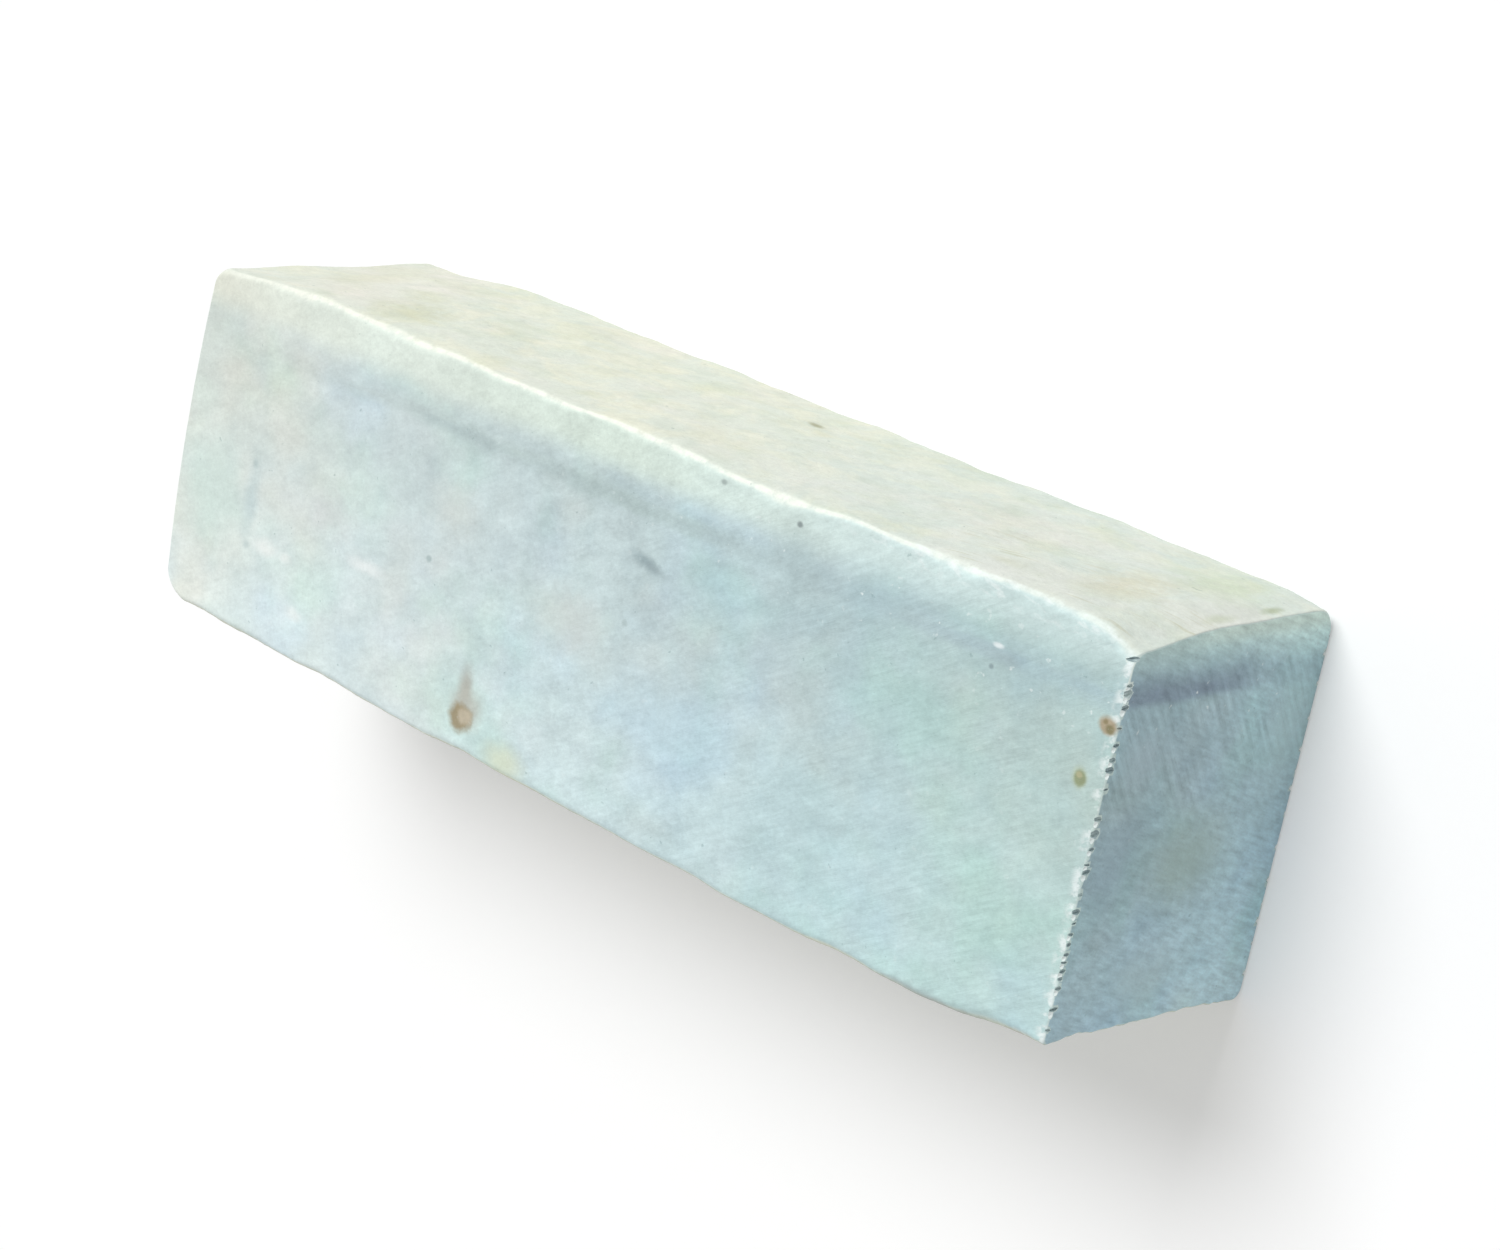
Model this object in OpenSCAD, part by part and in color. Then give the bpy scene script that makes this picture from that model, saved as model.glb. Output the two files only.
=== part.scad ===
// Slate pencil: a short writing stick of natural stone, riven and sawn from a slab.
// The slab splits along its bedding, so two long sides are natural, crowned and uneven.
// The saw makes the other two long sides and both ends, which are flat.
// X runs along the stick, Y from one natural side to the other, Z up from the sawn side
// that it rests on. The origin is the middle of the stick's box, on that rest face.

/* [Stick] */
// Length between the two sawn ends
stick_l = 65; // [40:1:110]
// Thickness of the split slab, over the highest places of the two natural sides
slab_w = 21.8; // [15:0.1:32]
// Height between the two sawn long sides
strip_h = 16.8; // [12:0.1:26]

/* [Natural sides] */
// Rise of a natural side between its two long arrises
crown_rise = 0.2; // [0:0.05:0.8]
// How far the near natural side (-Y) swells out along the stick
near_bow = 1.3; // [0:0.1:1.8]
// Where that swelling is widest, as a share of the length from the left end
bow_peak = 0.87; // [0.5:0.01:0.95]
// Depth of the deepest hollow, across the far natural side (+Y)
hollow_depth = 0.3; // [0:0.05:1.2]
// Height of the fine ripples that splitting leaves
ripple_h = 0.14; // [0:0.02:0.3]
// Distance from one ripple to the next
ripple_pitch = 5.5; // [4:0.5:10]

/* [Arrises] */
// Radius of the worn arrises between a natural and a sawn side
worn_r = 0.5; // [0.3:0.05:0.9]
// How much that radius swells and shrinks along the stick
worn_swing = 0.15; // [0:0.05:0.2]
// Radius of the crisp arrises round the right end
crisp_r = 0.25; // [0.1:0.05:0.4]
// Radius of the rounded corner between the left end and the near natural side
corner_r = 1.7; // [0.8:0.1:2.6]
// Radius of the corner between the left end and the far natural side
far_corner_r = 0.9; // [0.4:0.1:1.6]
// How far the other three corners of the plan are worn back
corner_wear = 0.8; // [0:0.1:1.2]
// Depth of the chips along the worn arrises
chip_depth = 0.5; // [0:0.05:0.7]

/* [Saw marks] */
// How far the left end bulges, where the saw wandered as it cut
end_bulge = 0.6; // [0.1:0.1:1]
// Depth of the deepest saw nicks in the torn arris of the right end
nick_depth = 0.34; // [0.1:0.02:0.5]
// Width of a nick, as a share of its depth
nick_flare = 1.4; // [0.8:0.1:2]
// How far the nicks slant across the arris, in degrees towards the far side
nick_turn = 25; // [0:5:40]

/* [Hidden] */

half_l = stick_l / 2;
half_w = slab_w / 2;
arc_steps = 4;                                // facets round a quarter of an arris
side_steps = 12;                              // facets up a natural side
station_gap = 1.3;                            // greatest distance between two sections
stations_mid = ceil(stick_l / station_gap);
stations_corner = 5;                          // extra sections round the rounded corner
least_r = 0.2;                                // no worn arris is sharper than this
end_round_r = (pow(half_w, 2) + pow(end_bulge, 2)) / (2 * end_bulge);
corner_start = -half_l + end_bulge * pow((half_w - near_bow - corner_r) / half_w, 2);
corner_end = corner_start + corner_r;
spare = 1;                                    // how far a cutter stands clear of the stone
nick_reach = 1.6;                             // half the length of a nick's cutter
bow_power = 1.4;                              // how the near side's swelling rounds off

NEAR = -1;                                    // the two natural sides, by the sign of Y
FAR = 1;

// The four long arrises, counted anticlockwise seen from the right end
FAR_TOP = 0;
NEAR_TOP = 1;
NEAR_REST = 2;
FAR_REST = 3;

// Hollows in the natural sides:
// [side, share of the length, share of the height, reach along, reach up, depth]
hollows = [
    [FAR, 0.645, 1.00, 6.5, 11, hollow_depth],
    [FAR, 0.38, 0.80, 7.0, 9, hollow_depth * 0.8],
    [FAR, 0.00, 0.50, 5.5, 14, corner_wear * 0.9],
    [FAR, 1.00, 1.00, 1.6, 5, corner_wear * 1.1],
    [NEAR, 1.00, 0.90, 4.5, 13, corner_wear * 0.7],
    [NEAR, 0.22, 0.35, 7.0, 6, hollow_depth],
    [NEAR, 0.58, 0.20, 6.0, 5, hollow_depth * 1.2],
];

// Chips out of the long arrises: [arris, share of the length, half length, share of depth]
chips = [
    [FAR_TOP, 0.66, 1.1, 1.0],
    [FAR_TOP, 0.12, 0.9, 0.5],
    [FAR_TOP, 0.83, 1.3, 0.6],
    [FAR_TOP, 1.00, 1.2, 0.7],
    [NEAR_TOP, 0.95, 1.6, 0.9],
    [NEAR_TOP, 0.86, 0.8, 0.4],
    [NEAR_REST, 0.30, 1.5, 0.9],
    [NEAR_REST, 0.71, 1.8, 0.7],
    [FAR_REST, 0.52, 1.6, 0.5],
    [FAR_REST, 0.04, 4.0, 2.4],
    [FAR_REST, 1.00, 3.5, 1.9],
];

// Nicks along the torn arris: [place up from the near side as a share of slab_w, share of depth]
nicks = [
    [0.085, 0.40], [0.134, 1.00], [0.183, 0.60], [0.205, 0.35], [0.223, 0.60], [0.244, 0.50],
    [0.262, 0.45], [0.285, 0.35], [0.309, 0.45], [0.335, 0.35], [0.361, 0.85], [0.400, 0.35],
    [0.452, 0.90], [0.470, 0.45], [0.505, 0.45], [0.539, 0.95], [0.574, 0.80], [0.642, 0.35],
    [0.685, 0.95], [0.707, 0.55], [0.741, 0.60], [0.780, 0.35], [0.825, 0.75], [0.856, 0.95],
    [0.875, 0.50], [0.947, 1.00],
];

function share(x) = (x + half_l) / stick_l;
function bell(d, reach) = exp(-pow(d / reach, 2));
function total(list) = len(list) == 0 ? 0 : list * [for (item = list) 1];

// Crown of a natural side: full depth at both long arrises, none half way up
function crown_drop(z) = crown_rise * pow(2 * z / strip_h - 1, 2);

// Swelling of the near side along the stick, as depth below its widest place
function bow_drop(x) = near_bow * pow(abs(share(x) / bow_peak - 1), bow_power);

// Two slanting waves of unlike pitch never line up, so the ripples look unplanned
function ripple_drop(x, z, side) =
    ripple_h * (2 + sin(360 * (x + 0.6 * z) / ripple_pitch + 70 * side)
                  + sin(360 * (0.7 * x - z + 4 * side) / (1.618 * ripple_pitch))) / 4;

function hollow_drop(x, z, side) = total([
    for (h = hollows)
        if (h[0] == side)
            h[5] * bell(x + half_l - h[1] * stick_l, h[3]) * bell(z - h[2] * strip_h, h[4])
]);

// A rounded corner of the plan, where a natural side meets the bulging left end
function corner_drop(x, r) =
    let (d = max(0, x - corner_start))
    d < r ? r - sqrt(pow(r, 2) - pow(r - d, 2)) : 0;

// How far a natural side lies inside the stick's box
function side_drop(x, z, side) =
    crown_drop(z) + ripple_drop(x, z, side) + hollow_drop(x, z, side)
    + (side == NEAR ? bow_drop(x) + corner_drop(x, corner_r) : corner_drop(x, far_corner_r));

// Radius of one long arris: its wear, and the chips out of it
function arris_r(x, arris) = max(least_r,
    worn_r + worn_swing * (sin(360 * x / 23 + 110 * arris) + sin(360 * x / 9.1 + 50 * arris)) / 2
    + chip_depth * total([
        for (c = chips)
            if (c[0] == arris) c[3] * bell(x + half_l - c[1] * stick_l, c[2])
    ]));

// A quarter arc of one long arris in the plain rectangle of the section
function arris_arc(x, arris, inset) =
    let (r = arris_r(x, arris),
         sy = arris == FAR_TOP || arris == FAR_REST ? 1 : -1,
         sz = arris == FAR_TOP || arris == NEAR_TOP ? 1 : -1,
         mid_y = sy * (half_w - inset - r),
         mid_z = strip_h / 2 + sz * (strip_h / 2 - inset - r))
    [for (k = [0:arc_steps])
        let (a = 90 * arris + 90 * k / arc_steps)
        [mid_y + r * cos(a), mid_z + r * sin(a)]];

// The points up or down a natural side, between its two arris arcs
function side_points(from, to) =
    [for (k = [1:side_steps - 1]) from + (to - from) * k / side_steps];

// Carries a point of the plain section onto the uneven natural sides
function riven(x, p) =
    let (side = p[0] < 0 ? NEAR : FAR)
    [x, p[0] * (1 - side_drop(x, p[1], side) / half_w), p[1]];

// One closed section of the stick, anticlockwise seen from the right end
function section(x, inset) =
    let (ft = arris_arc(x, FAR_TOP, inset),
         nt = arris_arc(x, NEAR_TOP, inset),
         nr = arris_arc(x, NEAR_REST, inset),
         fr = arris_arc(x, FAR_REST, inset),
         plain = concat(ft, nt, side_points(nt[arc_steps], nr[0]),
                        nr, fr, side_points(fr[arc_steps], ft[0])))
    [for (p = plain) riven(x, p)];

// Places of the sections, as [x, inset]: the rounded corner, the stick, the right end's arris
stations = concat(
    [[-half_l, 0]],
    [for (k = [0:stations_corner - 1])
        [corner_end - corner_r * cos(90 * k / stations_corner), 0]],
    [for (k = [0:stations_mid])
        [corner_end + (half_l - crisp_r - corner_end) * k / stations_mid, 0]],
    [for (k = [1:arc_steps])
        let (a = 90 * k / arc_steps)
        [half_l - crisp_r * (1 - sin(a)), crisp_r * (1 - cos(a))]]
);

// The riven block: a skin stretched over all the sections
module riven_block() {
    rings = [for (s = stations) section(s[0], s[1])];
    n = len(rings[0]);
    last = len(rings) - 1;
    polyhedron(
        points = [for (ring = rings) each ring],
        faces = concat(
            [[for (j = [0:n - 1]) j]],
            [for (i = [0:last - 1], j = [0:n - 1])
                let (k = (j + 1) % n)
                each [[i * n + j, (i + 1) * n + k, i * n + k],
                      [i * n + j, (i + 1) * n + j, (i + 1) * n + k]]],
            [[for (j = [n - 1:-1:0]) last * n + j]]),
        convexity = 4);
}

// What the saw took off the left end: all that lies outside one wide round
module left_end_cut() {
    depth = 2 * end_bulge;
    difference() {
        translate([-half_l - spare, -half_w - spare, -spare])
            cube([spare + depth, slab_w + 2 * spare, strip_h + 2 * spare]);
        translate([end_round_r - half_l, 0, -2 * spare])
            cylinder(r = end_round_r, h = strip_h + 4 * spare, $fn = 720);
    }
}

// Nicks that the saw tore out of the upper arris of the right end
module saw_nicks() {
    for (nick = nicks)
        translate([half_l, nick[0] * slab_w - half_w, strip_h])
            rotate([0, 45, nick_turn])
                saw_nick(nick[1] * nick_depth + crisp_r * (sqrt(2) - 1));
}

// One nick: a three-sided prism lying across the arris, with its edge inside the stone
module saw_nick(depth) {
    rise = 0.3;
    top = nick_flare / 2 * (depth + rise);
    translate([-nick_reach, 0, 0])
        rotate([90, 0, 90])
            linear_extrude(2 * nick_reach)
                polygon([[0, -depth], [top, rise], [-top, rise]]);
}

module slate_pencil() {
    color([0.80, 0.87, 0.85])
        difference() {
            riven_block();
            left_end_cut();
            saw_nicks();
        }
}

slate_pencil();
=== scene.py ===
"""A slate pencil: a short writing stick of pale natural stone, riven and sawn from a slab.

The stick is one piece of stone. X runs along it towards the end with the saw-torn arris,
Y runs from one natural side to the other, and Z runs up from the sawn side that it rests
on. Sizes of the stone are in millimetres, as a mason gives them, and the finished mesh is
in metres.
"""

import logging
import math
from dataclasses import dataclass
from enum import Enum
from typing import Any, Callable

import bpy
from mathutils import Matrix, Vector


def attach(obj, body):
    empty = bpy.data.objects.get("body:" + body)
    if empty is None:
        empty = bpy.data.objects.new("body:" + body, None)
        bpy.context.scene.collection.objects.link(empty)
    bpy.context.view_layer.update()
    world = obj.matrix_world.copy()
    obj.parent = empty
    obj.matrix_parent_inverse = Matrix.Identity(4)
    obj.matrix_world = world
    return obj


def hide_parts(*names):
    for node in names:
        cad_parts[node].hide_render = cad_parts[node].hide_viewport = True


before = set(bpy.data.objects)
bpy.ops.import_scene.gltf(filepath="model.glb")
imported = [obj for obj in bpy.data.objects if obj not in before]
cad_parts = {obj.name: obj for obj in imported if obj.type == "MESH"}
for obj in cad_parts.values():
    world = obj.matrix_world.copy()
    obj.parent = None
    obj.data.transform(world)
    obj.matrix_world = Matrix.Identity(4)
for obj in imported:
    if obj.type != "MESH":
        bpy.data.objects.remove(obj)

LOG = logging.getLogger("slate_pencil")
MM = 0.001

# The driving sizes of the stick, in millimetres
LENGTH = 65.0
WIDTH = 21.8
TOP = 16.8
# Where the marks of the right end and of the far natural side lie
END_X = LENGTH / 2
FAR_Y = 10.3

Triple = tuple[float, float, float]
Stops = tuple[tuple[float, Triple], ...]


class Corner(Enum):
    """The four long arrises, by the sides that meet there: (sign of Y, sign of Z)."""

    FAR_TOP = (1, 1)
    NEAR_TOP = (-1, 1)
    NEAR_REST = (-1, -1)
    FAR_REST = (1, -1)


class Cut(Enum):
    """What a cutter leaves: the tone of the broken stone, from dirt with painted shade to crushed
    white.
    """

    NICK = -1.0
    CHIP = 0.35
    FLAKE = 1.0


def both_ways(operation: str) -> tuple[Callable, Callable]:
    """Makes the two methods behind one of Python's operators.

    Args:
        operation: the operation of the Math node that they lay.

    Returns:
        The method for a value on the left, and the reflected one for a value on the right.
    """
    def left(self: "Value", other: Any) -> "Value":
        """Lays the node with this value first."""
        return self.bench.maths(operation, self, other)

    def right(self: "Value", other: Any) -> "Value":
        """Lays the node with this value second."""
        return self.bench.maths(operation, other, self)

    return left, right


class Value:
    """A socket's value in a node tree, on which sums are written as plain Python."""

    def __init__(self, bench: "Bench", socket: bpy.types.NodeSocket) -> None:
        """Keeps the socket and the bench that it lies on."""
        self.bench = bench
        self.socket = socket

    __add__, __radd__ = both_ways("ADD")
    __sub__, __rsub__ = both_ways("SUBTRACT")
    __mul__, __rmul__ = both_ways("MULTIPLY")
    __truediv__, __rtruediv__ = both_ways("DIVIDE")
    __gt__, __lt__ = both_ways("GREATER_THAN")

    def __neg__(self) -> "Value":
        """Turns the sign round."""
        return self.bench.maths("MULTIPLY", self, -1.0)

    def __abs__(self) -> "Value":
        """Drops the sign."""
        return self.bench.maths("ABSOLUTE", self)


class Bench:
    """Lays nodes in one tree, for a shape or for a finish."""

    def __init__(self, tree: bpy.types.NodeTree) -> None:
        """Starts on an empty tree.

        Args:
            tree: the node tree that the nodes go in.
        """
        self.tree = tree
        tree.nodes.clear()

    def node(self, kind: str, settings: dict[str, Any] | None = None,
             feeds: dict[Any, Any] | None = None) -> bpy.types.Node:
        """Adds one node.

        Args:
            kind: the node's type.
            settings: its own settings, set before its sockets.
            feeds: what goes into its sockets, by name or number: a number, a tuple, a
                Value, a socket, or a list of these for a socket that takes several.

        Returns:
            The node.
        """
        made = self.tree.nodes.new(kind)
        for name, setting in (settings or {}).items():
            if name == "stops":
                self._set_stops(made, setting)
            else:
                setattr(made, name, setting)
        for key, feed in (feeds or {}).items():
            socket = self._socket(made.inputs, key)
            for one in feed if isinstance(feed, list) else [feed]:
                self._feed(socket, one)
        return made

    def value(self, kind: str, settings: dict[str, Any] | None = None,
              feeds: dict[Any, Any] | None = None, out: Any = 0) -> Value:
        """Adds one node and gives one of its outputs.

        Args:
            kind: the node's type.
            settings: its own settings.
            feeds: what goes into its sockets.
            out: the output's name or number.

        Returns:
            The output's value.
        """
        return Value(self, self._socket(self.node(kind, settings, feeds).outputs, out))

    def maths(self, operation: str, *terms: Any) -> Value:
        """Adds a Math node, or a Vector Math node where a term is a vector.

        Args:
            operation: the node's operation.
            terms: numbers, tuples or values.

        Returns:
            The result.
        """
        if any(self._is_vector(term) for term in terms):
            parts = [(term,) * 3 if isinstance(term, (int, float)) else term for term in terms]
            return self.value("ShaderNodeVectorMath", {"operation": operation},
                              dict(enumerate(parts)), "Vector")
        return self.value("ShaderNodeMath", {"operation": operation}, dict(enumerate(terms)))

    def split(self, vector: Value) -> tuple[Value, Value, Value]:
        """Gives the three parts of a vector."""
        parts = self.node("ShaderNodeSeparateXYZ", None, {0: vector})
        return tuple(Value(self, parts.outputs[k]) for k in range(3))

    def join(self, x: Any, y: Any, z: Any) -> Value:
        """Makes a vector of three values."""
        return self.value("ShaderNodeCombineXYZ", None, {0: x, 1: y, 2: z})

    def least(self, a: Any, b: Any) -> Value:
        """Gives the smaller of two values."""
        return self.maths("MINIMUM", a, b)

    def most(self, a: Any, b: Any) -> Value:
        """Gives the greater of two values."""
        return self.maths("MAXIMUM", a, b)

    def sine(self, turns: Value) -> Value:
        """Gives the sine of an angle in turns."""
        return self.maths("SINE", turns * math.tau)

    def ramp(self, value: Any, start: Any, end: Any, low: float = 0.0, high: float = 1.0) -> Value:
        """Rises smoothly from low to high while a value goes from start to end."""
        return self.value("ShaderNodeMapRange", {"interpolation_type": "SMOOTHSTEP"},
                          {0: value, 1: start, 2: end, 3: low, 4: high})

    def bell(self, value: Value, centre: Any, reach: Any) -> Value:
        """Gives 1 at the centre, fading as a bell does over the reach."""
        far = (value - centre) / reach
        return self.maths("EXPONENT", -(far * far))

    def noise(self, where: Value, scale: float, detail: float = 2.0, rough: float = 0.5,
              skew: float = 0.0, colour: bool = False) -> Value:
        """Gives smooth noise from 0 to 1.

        Args:
            where: the place, in millimetres.
            scale: how many times the noise changes in a millimetre.
            detail: how many finer layers lie on it.
            rough: how strong the finer layers are.
            skew: how far the noise is swirled.
            colour: whether three noises are given as a vector.

        Returns:
            The noise.
        """
        return self.value("ShaderNodeTexNoise", None,
                          {"Vector": where, "Scale": scale, "Detail": detail,
                           "Roughness": rough, "Distortion": skew}, 1 if colour else 0)

    def placed(self, where: Value, size: Triple, turn: Triple = (0, 0, 0),
               at: Triple = (0, 0, 0)) -> Value:
        """Gives a place as it is seen from a centre, in turned and stretched axes.

        Args:
            where: the place.
            size: the length of each new axis.
            turn: how far the new axes are turned, in degrees.
            at: the centre.

        Returns:
            The place in the new axes.
        """
        return self.value("ShaderNodeMapping", {"vector_type": "TEXTURE"},
                          {"Vector": where, "Location": at, "Scale": size,
                           "Rotation": tuple(math.radians(a) for a in turn)})

    def streaks(self, where: Value, size: Triple, turn: Triple, detail: float = 3.0,
                rough: float = 0.5) -> Value:
        """Gives noise in streaks: drawn out to a size along each of three turned axes."""
        return self.noise(self.placed(where, size, turn), 1.0, detail, rough)

    def stored(self, name: str, form: str) -> Value:
        """Reads an attribute of the geometry, such as a FLOAT or a FLOAT_VECTOR."""
        return self.value("GeometryNodeInputNamedAttribute", {"data_type": form},
                          {"Name": name}, "Attribute")

    def store(self, geometry: Value, name: str, value: Any, form: str, domain: str) -> Value:
        """Stores a value on the points or faces of a geometry.

        Args:
            geometry: the geometry.
            name: the attribute's name.
            value: the value.
            form: its kind, such as FLOAT or FLOAT_VECTOR.
            domain: POINT or FACE.

        Returns:
            The geometry with the attribute.
        """
        return self.value("GeometryNodeStoreNamedAttribute",
                          {"data_type": form, "domain": domain},
                          {"Geometry": geometry, "Name": name, "Value": value})

    def mix(self, share: Any, first: Any, second: Any, blend: str = "MIX") -> Value:
        """Blends two colours.

        Args:
            share: how much of the second colour there is, from 0 to 1.
            first: the first colour.
            second: the second colour.
            blend: how the second lies on the first.

        Returns:
            The blended colour.
        """
        return self.value("ShaderNodeMix", {"data_type": "RGBA", "blend_type": blend},
                          {"Factor_Float": share, "A_Color": first, "B_Color": second},
                          "Result_Color")

    def shade(self, colour: Any, amount: Any) -> Value:
        """Lightens or darkens a colour by a factor, without leaving colours for vectors."""
        grey = self.value("ShaderNodeCombineColor", None, {0: amount, 1: amount, 2: amount})
        return self.mix(1.0, colour, grey, "MULTIPLY")

    @staticmethod
    def _is_vector(term: Any) -> bool:
        """Tells whether a term is a vector or a colour.

        Args:
            term: a number, a tuple or a value.

        Returns:
            True for a tuple, and for a value of a vector or colour socket.
        """
        if isinstance(term, Value):
            return term.socket.type in ("VECTOR", "RGBA")
        return isinstance(term, tuple)

    @staticmethod
    def _set_stops(made: bpy.types.Node, stops: list[tuple[float, Triple]]) -> None:
        """Sets the stops of a colour ramp.

        Args:
            made: the colour ramp's node.
            stops: its stops, as (place, colour).
        """
        elements = made.color_ramp.elements
        while len(elements) < len(stops):
            elements.new(1.0)
        for element, (place, colour) in zip(elements, stops):
            element.position = place
            element.color = (*colour, 1.0)

    @staticmethod
    def _socket(sockets: Any, key: Any) -> bpy.types.NodeSocket:
        """Finds a socket by number, identifier or name.

        Args:
            sockets: a node's inputs or outputs.
            key: the number, identifier or name.

        Returns:
            The socket.
        """
        if isinstance(key, int):
            return sockets[key]
        for one in sockets:
            if one.identifier == key:
                return one
        return sockets[key]

    def _feed(self, socket: bpy.types.NodeSocket, feed: Any) -> None:
        """Links a value to a socket, or sets its number.

        Args:
            socket: the input.
            feed: a value or socket to link, or the number or tuple to set.
        """
        if isinstance(feed, Value):
            self.tree.links.new(feed.socket, socket)
        elif isinstance(feed, bpy.types.NodeSocket):
            self.tree.links.new(feed, socket)
        elif socket.type == "RGBA" and len(feed) == 3:
            socket.default_value = (*feed, 1.0)
        else:
            socket.default_value = feed


@dataclass(frozen=True)
class Blot:
    """A mark on the stone: a small rounded body of other colour, just under the surface.

    Attributes:
        at: its centre, in millimetres.
        reach: its half sizes, in millimetres.
        colour: its colour.
        strength: how much of its colour shows at its centre.
        turn: how far it is turned, in degrees.
        core: the share of its reach that has the full colour.
        ragged: how far its edge wanders, in millimetres.
    """

    at: Triple
    reach: Triple
    colour: Triple
    strength: float
    turn: Triple = (0.0, 0.0, 0.0)
    core: float = 0.1
    ragged: float = 0.5


@dataclass(frozen=True)
class Cloud:
    """Soft clouds that tint the stone.

    Attributes:
        scale: how many times they change in a millimetre.
        tint: what the stone's colour is multiplied by where a cloud is full.
        shift: how far their pattern is moved, so that no two layers match.
        amount: how strong the full tint is.
    """

    scale: float
    tint: Triple
    shift: float
    amount: float = 1.0


@dataclass(frozen=True)
class StoneFinish:
    """The finish of the stone, coloured right through as the real one is.

    Attributes:
        half_l: half the stick's length, in millimetres.
        top: its height.
        body: colours of the body along the stick, as (share of the length, colour).
        rind: colours of the pale rind under the far natural side.
        band: colours of the dark bedding band.
        band_seam: colour of the dark seams in the band.
        crest_wear_and_highlight: colours of the worn arrises, partly their own wear and partly a
            painted highlight.
        end_body_tint_and_shade: colour of the body on the ends, where the saw left it rougher; it
            is bluer and darker, partly a painted cool shade.
        end_rind_tint_and_shade: colour of the rind on the ends, partly a painted cool shade.
        end_band_tint_and_shade: colour of the band on the ends, partly a painted cool shade.
        end_border: colour of the ends' border by the far natural side.
        far_skin: colours of the far natural side: its ground, its mottles, its pale places
            and its golden fibres.
        far_cool: how the far natural side cools towards the right end.
        near_skin: colours of the near natural side: its ground, mottles and damp places.
        crushed: colour of freshly crushed stone.
        dirt_and_shade: colour of the dirt and the painted shade in the saw nicks.
        pore: how the pores darken the stone.
        body_clouds: soft clouds of the body.
        skin_clouds: soft clouds of the far natural side.
        band_foot: place in Y where the band begins, in millimetres.
        band_reach: width of the band, in millimetres.
        tooth_pitch: distance from one tooth mark on the end to the next, in millimetres.
        tooth_turn: how far the tooth marks are turned from upright, in degrees.
        face_turn: how far the saw's marks on the large face are turned, in degrees.
        roughness: roughness of the stone.
        shine: how strongly it mirrors.
        relief: height of the finest relief, in metres.
        blots: the single marks.
    """

    half_l: float
    top: float
    body: Stops = (
        (0.00, (0.71, 0.78, 0.73)), (0.10, (0.68, 0.77, 0.74)), (0.22, (0.65, 0.75, 0.75)),
        (0.48, (0.58, 0.70, 0.71)), (0.75, (0.50, 0.65, 0.67)), (1.00, (0.49, 0.65, 0.63)))
    rind: Stops = (
        (0.00, (0.78, 0.80, 0.70)), (0.20, (0.76, 0.84, 0.76)), (0.50, (0.71, 0.82, 0.73)),
        (0.75, (0.67, 0.81, 0.79)), (1.00, (0.60, 0.75, 0.74)))
    band: Stops = (
        (0.00, (0.62, 0.69, 0.68)), (0.20, (0.55, 0.64, 0.64)), (0.50, (0.49, 0.61, 0.58)),
        (0.72, (0.43, 0.56, 0.59)), (0.88, (0.40, 0.54, 0.59)), (1.00, (0.42, 0.57, 0.62)))
    band_seam: Triple = (0.42, 0.52, 0.53)
    crest_wear_and_highlight: Stops = (
        (0.00, (0.80, 0.83, 0.74)), (0.15, (0.90, 0.92, 0.82)), (0.65, (0.88, 0.92, 0.83)),
        (1.00, (0.76, 0.85, 0.80)))
    end_body_tint_and_shade: Triple = (0.375, 0.53, 0.58)
    end_rind_tint_and_shade: Triple = (0.52, 0.70, 0.68)
    end_band_tint_and_shade: Triple = (0.235, 0.315, 0.39)
    end_border: Triple = (0.64, 0.78, 0.70)
    far_skin: tuple[Triple, ...] = (
        (0.71, 0.76, 0.67), (0.77, 0.79, 0.66), (0.77, 0.775, 0.69), (0.60, 0.58, 0.42))
    far_cool: Triple = (0.93, 0.965, 1.0)
    near_skin: tuple[Triple, ...] = ((0.62, 0.68, 0.54), (0.70, 0.72, 0.56), (0.50, 0.60, 0.54))
    crushed: Triple = (0.86, 0.93, 0.92)
    dirt_and_shade: Triple = (0.19, 0.26, 0.29)
    pore: Triple = (0.55, 0.62, 0.62)
    body_clouds: tuple[Cloud, ...] = (
        Cloud(0.15, (1.06, 1.00, 0.97), 0.0), Cloud(0.19, (0.95, 1.02, 0.97), 17.0),
        Cloud(0.13, (0.94, 0.98, 1.06), 41.0), Cloud(0.32, (1.07, 1.05, 1.05), 73.0, 0.9),
        Cloud(0.55, (0.94, 0.95, 0.96), 97.0, 0.9))
    skin_clouds: tuple[Cloud, ...] = (
        Cloud(0.25, (0.94, 0.95, 0.90), 13.0), Cloud(0.6, (0.93, 0.94, 0.93), 29.0),
        Cloud(0.35, (1.04, 1.02, 1.03), 43.0))
    band_foot: float = 6.5
    band_reach: float = 1.45
    tooth_pitch: float = 0.6
    tooth_turn: float = 37.7
    face_turn: float = 32.0
    roughness: float = 0.62
    shine: float = 0.35
    relief: float = 0.00006
    blots: tuple[Blot, ...] = ()

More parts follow.
